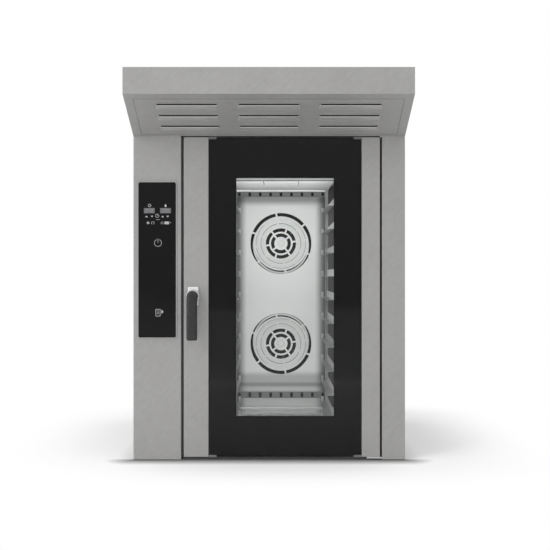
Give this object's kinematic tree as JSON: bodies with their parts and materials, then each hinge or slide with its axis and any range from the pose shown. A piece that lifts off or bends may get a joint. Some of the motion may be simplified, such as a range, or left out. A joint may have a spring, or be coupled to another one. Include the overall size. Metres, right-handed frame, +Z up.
{
  "type": "rotating rack oven",
  "caption": "Floor-standing rotating rack oven: a tray rack turns in front of fans behind a glazed door, under an overhanging extraction hood.",
  "frame": {"origin": "on the floor, under the middle of the whole outline", "axes": "+Z up, the door faces -Y, +X to the right as seen from the front"},
  "size_m": [1, 1.496, 1.442],
  "materials": {
    "outer_steel": "satin brushed",
    "chamber_steel": "bright cold-rolled",
    "zinc_sheet": "galvanised",
    "base_paint": "matt",
    "heater_steel": "heat-darkened",
    "motor_paint": "satin",
    "brass": "turned",
    "polished_steel": "polished",
    "clear_glass": "polished",
    "black_glass": "glossy black enamel and glass",
    "gasket_rubber": "matt silicone",
    "wool": "mineral wool",
    "black_plastic": "moulded",
    "grip_plastic": "soft sheen",
    "board": "circuit board"
  },
  "bodies": {
    "root": {"base_rails": "base_paint", "levelling_feet": "base_paint", "bottom_panel": "zinc_sheet", "side_panel_left": "outer_steel", "side_panel_right": "outer_steel", "rear_panel": "outer_steel", "top_panel": "zinc_sheet", "pillar_left": "outer_steel", "pillar_right": "outer_steel", "chamber_floor_pan": "chamber_steel", "chamber_wall_left": "chamber_steel", "chamber_wall_right": "chamber_steel", "chamber_ceiling_pan": "chamber_steel", "chamber_rear_wall": "chamber_steel", "chamber_front_frame": "chamber_steel", "door_gasket": "gasket_rubber", "insulation": "wool", "fan_baffle": "chamber_steel", "heating_elements": "heater_steel", "fan_motor_upper": "motor_paint", "fan_motor_lower": "motor_paint", "rack_gearmotor": "motor_paint", "rack_bearings": "brass", "chamber_lamps": "clear_glass", "steam_pipe": "brass", "temperature_probe": "polished_steel", "drain_pipe": "chamber_steel", "water_valve": "brass", "cable_gland": "black_plastic", "hood_shell": "outer_steel", "louvre_panel": "outer_steel", "hood_filter": "zinc_sheet", "extractor_housing": "zinc_sheet", "extractor_motor": "motor_paint", "flue_spigot": "outer_steel", "control_glass": "black_glass", "control_board": "board", "strike_plate": "polished_steel", "hinge_brackets": "polished_steel"},
    "door": {"door_stile_left": "outer_steel", "door_stile_right": "outer_steel", "door_rail_top": "outer_steel", "door_rail_bottom": "outer_steel", "door_outer_glass": "clear_glass", "door_glass_border": "black_glass", "door_inner_glass": "clear_glass", "glass_clips": "polished_steel", "hinge_bushes": "brass", "handle_escutcheon": "polished_steel"},
    "handle": {"handle_lever": "polished_steel", "handle_grip": "grip_plastic"},
    "rack": {"rack_top_plate": "chamber_steel", "rack_base_plate": "chamber_steel", "rack_posts": "chamber_steel", "rack_cross_beams": "chamber_steel", "runners_left": "chamber_steel", "runners_right": "chamber_steel"},
    "upper_fan": {"fan_wheel_upper": "zinc_sheet"},
    "lower_fan": {"fan_wheel_lower": "zinc_sheet"},
    "extractor": {"extractor_wheel": "zinc_sheet"}
  },
  "joints": [
    {"name": "door_hinge", "type": "hinge", "parent": "root", "child": "door", "pos_m": [0.397, -0.451, 0.6], "axis": [0, 0, 1], "range_deg": [0, 110]},
    {"name": "handle_turn", "type": "hinge", "parent": "door", "child": "handle", "pos_m": [-0.2795, -0.462, 0.603], "axis": [0, -1, 0], "range_deg": [0, 90]},
    {"name": "rack_spin", "type": "hinge", "parent": "root", "child": "rack", "pos_m": [0.048, 0.034, 0.5], "axis": [0, 0, 1], "continuous": true},
    {"name": "upper_fan_spin", "type": "hinge", "parent": "root", "child": "upper_fan", "pos_m": [0.048, 0.438, 0.823], "axis": [0, 1, 0], "continuous": true},
    {"name": "lower_fan_spin", "type": "hinge", "parent": "root", "child": "lower_fan", "pos_m": [0.048, 0.438, 0.372], "axis": [0, 1, 0], "continuous": true},
    {"name": "extractor_spin", "type": "hinge", "parent": "root", "child": "extractor", "pos_m": [0.028, 0.178, 1.284], "axis": [0, 1, 0], "continuous": true}
  ]
}
